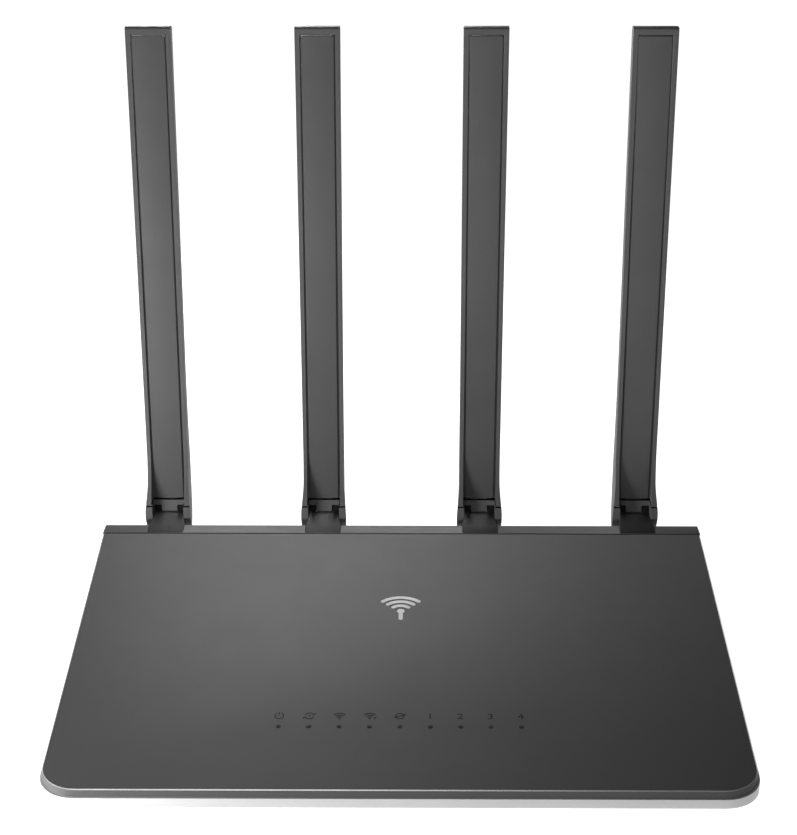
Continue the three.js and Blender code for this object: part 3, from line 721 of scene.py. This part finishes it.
def buildPanelMesh():
    bm = bmesh.new()
    top, low, corner = panel["halfTop"], panel["halfLow"], panel["cornerRound"]
    corners = [(-low, panel["low"], corner), (low, panel["low"], corner),
               (top, panel["top"], corner), (-top, panel["top"], corner)]
    extrude(bm, outline(bm, corners, plane="xz"), (0, panel["thickness"], 0))
    rims = [e for e in bm.edges if all(abs(v.co.y) < touch for v in e.verts)]
    bevelEdges(bm, rims, panel["edgeRound"], 3)
    for vert in bm.verts:  # the face leans back towards the hinge
        t = (panel["top"] - vert.co.z) / (panel["top"] - panel["low"])
        vert.co.y += panel["faceTop"] + (panel["faceLow"] - panel["faceTop"]) * t
    return meshOf(bm, "panel")


def placeCopies(mesh, name, materials, node):
    for i, pin in enumerate(pins, 1):
        own = mesh.copy()
        own.transform(Matrix.Translation(pin))
        piece = bpy.data.objects.new(f"{name}{i}", own)
        scene.collection.objects.link(piece)
        dress(piece, f"antenna_{i}", materials, [f"{node}_{i}"])


def ribbonArc(bm, cx, cy, radius, start, end, width):
    # a flat ring segment from start to end, in degrees
    ray = Vector((math.cos(math.radians(start)), math.sin(math.radians(start)), 0))
    centre = Vector((cx, cy, 0))
    ends = [bm.verts.new(centre + ray * (radius + side * width / 2)) for side in (-1, 1)]
    edge = bm.edges.new(ends)
    bmesh.ops.spin(bm, geom=ends + [edge], cent=centre, axis=(0, 0, 1), angle=math.radians(end - start),
                   steps=max(6, round(abs(end - start) / 12)), use_merge=abs(end - start) > 359,
                   use_duplicate=False)


def ribbonLine(bm, x0, y0, x1, y1, width):
    start, run = Vector((x0, y0, 0)), Vector((x1 - x0, y1 - y0, 0))
    side = Vector((-run.y, run.x, 0)).normalized() * width / 2
    corners = (start - side, start + run - side, start + run + side, start + side)
    bm.faces.new([bm.verts.new(corner) for corner in corners])


def disc(bm, cx, cy, radius, sides):
    bmesh.ops.create_circle(bm, cap_ends=True, segments=sides, radius=radius,
                            matrix=Matrix.Translation((cx, cy, 0)))


def thicken(bm, height):
    bmesh.ops.remove_doubles(bm, verts=bm.verts[:], dist=weld)
    for face in bm.faces:
        if face.normal.z < 0:
            face.normal_flip()
    extrude(bm, bm.faces[:], (0, 0, height))


def ontoCover(bm, x, y, sink):
    tilt = Matrix.Translation((x, y, topAt(y) - sink)) @ Matrix.Rotation(slopeAngle, 4, "X")
    bmesh.ops.transform(bm, matrix=tilt, verts=bm.verts[:])


emblem = dict(
    width=1.5 * mm, radii=(3.9 * mm, 6.6 * mm, 9.3 * mm), spreadAngle=88, dot=1.35 * mm, dotUp=0.3 * mm,
    mastTop=4.6 * mm, margin=0.4 * mm, height=0.14 * mm, sink=0.02 * mm,
)


def buildEmblem():
    # three waves over a mast
    bm = bmesh.new()
    half, end = emblem["spreadAngle"] / 2, emblem["width"] / 2
    for radius in emblem["radii"]:
        ribbonArc(bm, 0, 0, radius, 90 - half, 90 + half, emblem["width"])
        for side in (-1, 1):
            a = math.radians(90 + side * half)
            disc(bm, math.cos(a) * radius, math.sin(a) * radius, end * 0.995, 20)
    disc(bm, 0, emblem["dotUp"], emblem["dot"], 28)
    ribbonLine(bm, 0, 0, 0, -emblem["mastTop"], emblem["width"])
    disc(bm, 0, -emblem["mastTop"], end, 20)
    thicken(bm, emblem["height"])
    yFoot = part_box("top_badge")[0].y + emblem["margin"]
    ontoCover(bm, 0, yFoot + emblem["mastTop"] + end, emblem["sink"])
    dress(looseObject(bm, "emblemMark"), "housing", [emblemInk], ["top_badge"])


def numeral(text, size):
    curve = bpy.data.curves.new("numeral", "FONT")
    curve.body = text
    curve.size = size
    curve.align_x = "CENTER"
    curve.extrude = 0
    holder = bpy.data.objects.new("numeral", curve)
    scene.collection.objects.link(holder)
    graph = bpy.context.evaluated_depsgraph_get()
    mesh = bpy.data.meshes.new_from_object(holder.evaluated_get(graph))
    bpy.data.objects.remove(holder)
    bm = bmesh.new()
    bm.from_mesh(mesh)
    bpy.data.meshes.remove(mesh)
    return bm


# the signs are drawn in parts of their size s, with a stroke of width w
def powerIcon(bm, s, w):
    ribbonArc(bm, 0, 0, s * 0.85, 120, 420, w)
    ribbonLine(bm, 0, s * 0.25, 0, s * 1.05, w)


def pairIcon(bm, s, w):
    ribbonArc(bm, 0, 0, s * 0.85, 20, 160, w)
    ribbonArc(bm, 0, 0, s * 0.85, 200, 340, w)
    for side in (-1, 1):
        ribbonLine(bm, side * s * 0.85, side * s * 0.2, side * s * 1.25, side * s * 0.75, w)
    disc(bm, 0, 0, w * 0.9, 12)


def wavesIcon(bm, s, w):
    for radius in (0.55, 1.05, 1.6):
        ribbonArc(bm, 0, -s * 0.8, s * radius, 45, 135, w)
    disc(bm, 0, -s * 0.75, w * 0.9, 12)


def wavesBarIcon(bm, s, w):
    wavesIcon(bm, s, w)
    ribbonLine(bm, s * 0.9, -s * 0.9, s * 1.3, -s * 0.2, w)


def globeIcon(bm, s, w):
    ribbonArc(bm, 0, 0, s * 0.8, 0, 360, w)
    ribbonLine(bm, -s * 1.25, -s * 0.5, s * 1.25, s * 0.5, w)


marks = dict(
    icons=(powerIcon, pairIcon, wavesIcon, wavesBarIcon, globeIcon), stroke=0.40 * mm, size=1.95 * mm,
    squeeze=0.86, numeral=4.2 * mm, numeralDrop=1.5 * mm, behind=5.85 * mm, height=0.03 * mm,
    sink=0.005 * mm,
)
portMarks = dict(size=1.1 * mm, stroke=0.22 * mm, rise=0.9 * mm, numeral=2.6 * mm, above=0.75 * mm)


def buildMarks():
    # printed signs in a row behind the indicator holes
    icons = marks["icons"]
    y = yFront + cover["lightFromFront"] + marks["behind"]
    for i in range(cover["lights"]):
        if i < len(icons):
            bm = bmesh.new()
            icons[i](bm, marks["size"], marks["stroke"])
            bmesh.ops.scale(bm, vec=(marks["squeeze"], 1, 1), verts=bm.verts[:])
        else:
            bm = numeral(str(i - len(icons) + 1), marks["numeral"])
            bmesh.ops.translate(bm, vec=(0, -marks["numeralDrop"], 0), verts=bm.verts[:])
        thicken(bm, marks["height"])
        ontoCover(bm, inRow(i, cover["lights"], cover["lightPitch"]), y, marks["sink"])
        dress(looseObject(bm, f"mark{i + 1}"), "housing", [markInk])


def buildPortMarks():
    # a sign above the blue port and a number above each yellow one
    turn = Matrix.Rotation(math.pi, 4, "Z") @ Matrix.Rotation(math.pi / 2, 4, "X")
    for i, name in enumerate(jackNames):
        low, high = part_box(name)
        x, z = (low.x + high.x) / 2, high.z + portMarks["above"]
        if i:
            bm = numeral(str(i), portMarks["numeral"])
        else:
            bm = bmesh.new()
            globeIcon(bm, portMarks["size"], portMarks["stroke"])
            bmesh.ops.translate(bm, vec=(0, portMarks["rise"], 0), verts=bm.verts[:])
        thicken(bm, marks["height"])
        place = Matrix.Translation((x, yRear - marks["sink"], z))
        bmesh.ops.transform(bm, matrix=place @ turn, verts=bm.verts[:])
        dress(looseObject(bm, f"portMark{i + 1}"), "housing", [paleInk])


jack = dict(
    depth=14.5 * mm, mouthHalf=6 * mm, mouthLow=2.5 * mm, mouthDrop=0.9 * mm, edgeRound=0.22 * mm,
    notchHalf=3.1 * mm, notchLow=0.8 * mm, notchHigh=3 * mm,
    contacts=8, contactPitch=1.02 * mm, contactWidth=0.5 * mm,
    # corners of a contact, each so far in from the face and down from the top
    wire=((3.5 * mm, 1.0 * mm), (3.9 * mm, 1.0 * mm), (12.3 * mm, 5.0 * mm), (12.0 * mm, 5.3 * mm)),
)


def buildJacks():
    for name in jackNames:
        low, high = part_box(name)
        x, face = (low.x + high.x) / 2, high.y
        bm = bmesh.new()
        box(bm, low.x, high.x, low.y, high.y, low.z, high.z)
        piece = looseObject(bm, name.replace("_jack", "Jack").replace("_", ""))
        cutBlock(piece, x - jack["mouthHalf"], x + jack["mouthHalf"], face - jack["depth"], face + mm,
                 low.z + jack["mouthLow"], high.z - jack["mouthDrop"])
        cutBlock(piece, x - jack["notchHalf"], x + jack["notchHalf"], face - jack["depth"], face + mm,
                 low.z + jack["notchLow"], low.z + jack["notchHigh"])
        soften(piece, jack["edgeRound"])
        shade, slot = (jackBlue, "jack_blue") if name == "wan_jack" else (jackYellow, "jack_yellow")
        dress(piece, "housing", [shade], [name])
        bm = bmesh.new()
        side = [(face - inward, high.z - down, 0) for inward, down in jack["wire"]]
        for i in range(jack["contacts"]):
            left = x + inRow(i, jack["contacts"], jack["contactPitch"]) - jack["contactWidth"] / 2
            made = bmesh.new()
            extrude(made, outline(made, side, plane="yz", at=left), (jack["contactWidth"], 0, 0))
            wire = meshOf(made, "wire")
            bm.from_mesh(wire)
            bpy.data.meshes.remove(wire)
        dress(looseObject(bm, f"contacts{name.replace('_', '')}"), "housing", [goldPlate])


foot = dict(border=1.2 * mm, slant=0.5 * mm, dish=0.25 * mm, edgeRound=0.3 * mm)


def buildFeet():
    for i in range(1, 5):
        low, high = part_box(f"rubber_foot_{i}")
        bm = bmesh.new()
        rod(bm, "z", (high.x - low.x) / 2, high.z - low.z, (low + high) / 2, 48)
        for step in (foot["border"], foot["slant"]):
            inner = [f for f in bm.faces if f.normal.z < -0.9 and len(f.verts) > 4]
            bmesh.ops.inset_region(bm, faces=inner, thickness=step, depth=0)
        inner = [f for f in bm.faces if f.normal.z < -0.9 and len(f.verts) > 4]
        bmesh.ops.translate(bm, vec=(0, 0, foot["dish"]), verts=list({v for f in inner for v in f.verts}))
        bevelEdges(bm, [e for e in bm.edges if e.calc_face_angle(0) > 1.2], foot["edgeRound"], 3)
        dress(looseObject(bm, f"footPad{i}"), "housing", [footRubber], [f"rubber_foot_{i}"])


screw = dict(head=1.4 * mm, headRadius=2.8 * mm, shank=1.35 * mm, point=1.2 * mm,
             crossHalf=1.5 * mm, crossWidth=0.32 * mm, crossDepth=0.9 * mm)


def buildScrews():
    for i in range(1, 5):
        low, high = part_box(f"case_screw_{i}")
        x, y = (low.x + high.x) / 2, (low.y + high.y) / 2
        radius, shank, headTop = screw["headRadius"], screw["shank"], low.z + screw["head"]
        profile = [(0, low.z), (1.6 * mm, low.z), (2.5 * mm, low.z + 0.4 * mm), (radius, low.z + 0.9 * mm),
                   (radius, headTop), (shank, headTop), (shank, high.z - screw["point"]), (0, high.z)]
        bm = bmesh.new()
        lathe(bm, [(x + r, y, z) for r, z in profile], (x, y, 0), (0, 0, 1), 32)
        piece = looseObject(bm, f"screw{i}")
        for a, b in ((screw["crossHalf"], screw["crossWidth"]), (screw["crossWidth"], screw["crossHalf"])):
            cutBlock(piece, x - a, x + a, y - b, y + b, low.z - mm, low.z + screw["crossDepth"])
        dress(piece, "housing", [screwSteel], [f"case_screw_{i}"])


button = dict(
    radius=3.2 * mm, dish=0.25 * mm, collar=4.4 * mm, collarFrom=2.3 * mm, collarTo=3.3 * mm,
    stem=1.4 * mm,
)


def buildButton():
    low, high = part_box("reset_button")
    face, radius, stem, collar = high.y, button["radius"], button["stem"], button["collar"]
    front, back = yRear - button["collarFrom"], yRear - button["collarTo"]
    centre = Vector(((low.x + high.x) / 2, 0, (low.z + high.z) / 2))
    profile = [(0, face - button["dish"]), (1.6 * mm, face - 0.22 * mm), (2.6 * mm, face),
               (3.0 * mm, face - 0.08 * mm), (radius, face - 0.4 * mm), (radius, front), (collar, front),
               (collar, back), (stem, back), (stem, low.y), (0, low.y)]
    bm = bmesh.new()
    lathe(bm, [(centre.x + r, y, centre.z) for r, y in profile], centre, (0, 1, 0), 40)
    dress(looseObject(bm, "resetCap"), "reset_button", [jackBlack], ["reset_button"])


# finishes of the CAD nodes that stay in sight, by how their names begin; the rest are chips
finishes = {
    "main_board": boardGreen, "led_strip": boardGreen, "light_guide": guideSmoke, "heatsink": finAluminium,
    "radio_shield": tinPlate, "rating_label": labelPaper, "dc_jack": jackBlack, "hinge_pin": screwSteel,
    "antenna_radiator": brassStrip, "antenna_feed_cable": cableJacket, "antenna_pigtail": cableJacket,
}


def paintNodes():
    for name, node in frame["nodes"].items():
        if node.hide_render:
            continue
        material = next((m for start, m in finishes.items() if name.startswith(start)), chipBlack)
        node.data.materials.clear()
        node.data.materials.append(material)


view = dict(
    place=(2.6 * mm, -634.7 * mm, 352.6 * mm), pitch=21.935, yaw=0.303, lens=86.8, sensor=36,
    near=0.01, far=200,
)
studio = dict(floorSize=80, floorTone=(0.6, 0.6, 0.6, 1), glow=(1, 1, 1, 1), glowPower=1.0, skyPower=0.06)


def buildCamera():
    camera = bpy.data.cameras.new("camera")
    camera.lens = view["lens"]
    camera.sensor_width = view["sensor"]
    camera.clip_start = view["near"]
    camera.clip_end = view["far"]
    holder = bpy.data.objects.new("camera", camera)
    holder.location = view["place"]
    holder.rotation_euler = (math.radians(90 - view["pitch"]), 0, math.radians(view["yaw"]))
    scene.collection.objects.link(holder)
    scene.camera = holder


def buildFloor():
    # a pale floor with a glow of its own, so that it stays white around the dark casing
    bm = bmesh.new()
    bmesh.ops.create_grid(bm, x_segments=1, y_segments=1, size=studio["floorSize"])
    floor = looseObject(bm, "floor")
    material, _, _, shader = newMaterial("floorPale")
    shader.inputs["Base Color"].default_value = studio["floorTone"]
    shader.inputs["Roughness"].default_value = 1.0
    shader.inputs["Specular IOR Level"].default_value = 0.0
    shader.inputs["Emission Color"].default_value = studio["glow"]
    shader.inputs["Emission Strength"].default_value = studio["glowPower"]
    floor.data.materials.append(material)

    world = bpy.data.worlds.new("studio")
    scene.world = world
    world.use_nodes = True
    background = world.node_tree.nodes["Background"]
    background.inputs["Color"].default_value = studio["glow"]
    background.inputs["Strength"].default_value = studio["skyPower"]


lamps = {
    "rear": {
        "aim": (-0.03, 0.03, 0.03),
        "rearHigh": {"place": (0, 1.0, 0.5), "size": (0.5, 0.5), "power": 0.97},
        "rearLow": {"place": (-0.05, 0.5, 0.25), "size": (0.2, 0.2), "power": 0.85},
        "rearNear": {"place": (-0.1, 0.25, 0.22), "size": (0.1, 0.1), "power": 0.34},
    },
    "front": {
        "aim": (0, 0.08, 0.08),
        "leftLow": {"place": (-0.22, -0.14, 0.02), "size": (0.12, 0.03), "power": 0.74},
        "frontLow": {"place": (-0.02, -0.35, 0.03), "size": (0.16, 0.05), "power": 0.26},
        "frontHigh": {"place": (-0.2, -0.7, 1.0), "size": (0.5, 0.4), "power": 1.2},
    },
}


def softBoxes(group, clear=None):
    aim = Vector(group["aim"])
    for name, lamp in group.items():
        if name == "aim":
            continue
        light = bpy.data.lights.new(name, "AREA")
        light.shape = "RECTANGLE"
        light.size, light.size_y = lamp["size"]
        light.energy = lamp["power"]
        holder = bpy.data.objects.new(name, light)
        holder.location = lamp["place"]
        holder.rotation_euler = (aim - Vector(lamp["place"])).to_track_quat("-Z", "Y").to_euler()
        scene.collection.objects.link(holder)
        if clear:
            holder.light_linking.blocker_collection = clear


def buildLights():
    # the rear boxes shine past the antennas, so the cover stays free of their streaks
    clear = bpy.data.collections.new("clearOfRearLight")
    for item in scene.objects:
        if item.name.startswith(("antenna", "hinge_pin")):
            clear.objects.link(item)
    for entry in clear.collection_objects:
        entry.light_linking.link_state = "EXCLUDE"
    softBoxes(lamps["rear"], clear)
    softBoxes(lamps["front"])


buildCamera()
buildFloor()
buildCover()
print("cover built")
buildTray()
print("tray built")
buildBridge()
print("rear bridge built")
placeCopies(buildShellMesh(), "antennaShell", [paddleBlack, gapPaintedShadow], "antenna_shell")
placeCopies(buildPanelMesh(), "antennaPanel", [panelBlack], "antenna_front_panel")
print("antennas built")
buildEmblem()
buildMarks()
buildPortMarks()
print("emblem and marks built")
buildJacks()
print("ports built")
buildFeet()
buildScrews()
buildButton()
print("feet, screws and button built")
paintNodes()
buildLights()
print("lights placed")
